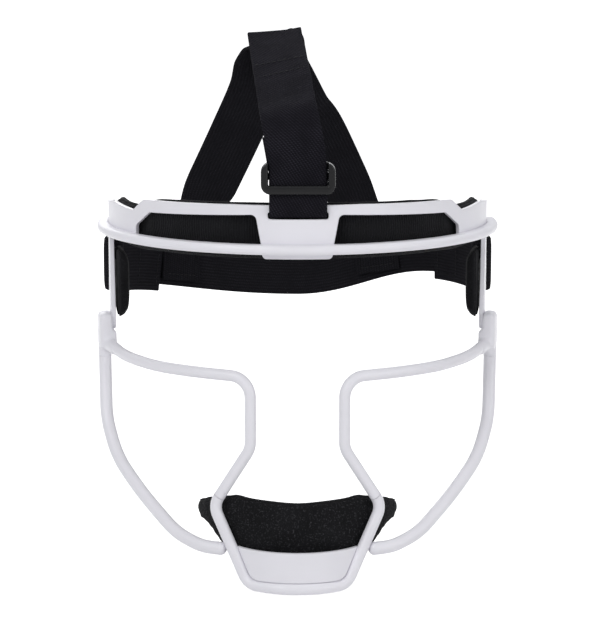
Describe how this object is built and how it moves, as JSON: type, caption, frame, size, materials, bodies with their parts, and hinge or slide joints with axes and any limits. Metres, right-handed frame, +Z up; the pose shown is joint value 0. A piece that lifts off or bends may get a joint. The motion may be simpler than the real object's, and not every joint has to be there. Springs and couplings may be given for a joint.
{
  "type": "softball_face_guard",
  "caption": "Softball fielder's face guard: a white coated steel cage with a brow sheet, open cheek and jaw bars, black hook-and-loop pads and black elastic head straps",
  "frame": {"origin": "On the upright axis of the wearer's head, level with the middle of the brow bar", "axes": "+Z is up to the crown, -Y is the way the wearer faces, +X is the wearer's left"},
  "size_m": [0.1888, 0.2134, 0.2462],
  "materials": {
    "cage_coat": "satin",
    "slider_plastic": "semi_gloss",
    "top_web": "matte",
    "rear_web": "matte",
    "pad_cloth": "matte",
    "chin_cloth": "matte",
    "foam": "matte",
    "hook_tape": "matte"
  },
  "bodies": {
    "cage": {"brow_plate": "cage_coat", "brow_bar": "cage_coat", "left_bracket": "cage_coat", "right_bracket": "cage_coat", "left_cheek_bar": "cage_coat", "right_cheek_bar": "cage_coat", "chin_bar": "cage_coat", "left_jaw_bar": "cage_coat", "right_jaw_bar": "cage_coat", "chin_plate": "cage_coat", "brow_pad_cover": "pad_cloth", "left_temple_pad_cover": "pad_cloth", "right_temple_pad_cover": "pad_cloth", "chin_pad_cover": "chin_cloth", "brow_pad_foam": "foam", "left_temple_pad_foam": "foam", "right_temple_pad_foam": "foam", "chin_pad_foam": "foam", "brow_hooks": "hook_tape", "left_temple_hooks": "hook_tape", "right_temple_hooks": "hook_tape", "chin_hooks": "hook_tape", "top_strap": "top_web", "rear_strap": "rear_web", "left_crown_strap": "rear_web", "right_crown_strap": "rear_web"},
    "slider_body": {"slider": "slider_plastic"},
    "left_tab": {"left_strap_tab": "rear_web", "left_tab_hooks": "hook_tape"},
    "right_tab": {"right_strap_tab": "rear_web", "right_tab_hooks": "hook_tape"}
  },
  "joints": [
    {"name": "slider_slide", "type": "slide", "parent": "cage", "child": "slider_body", "axis": [0, 0, 1], "range_m": [-0.004, 0.003]},
    {"name": "left_tab_hinge", "type": "hinge", "parent": "cage", "child": "left_tab", "pos_m": [0.0839, 0.0123, -0.0205], "axis": [0, 0, 1], "range_deg": [0, 40]},
    {"name": "right_tab_hinge", "type": "hinge", "parent": "cage", "child": "right_tab", "pos_m": [-0.0839, 0.0123, -0.0205], "axis": [0, 0, -1], "range_deg": [0, 40]}
  ]
}
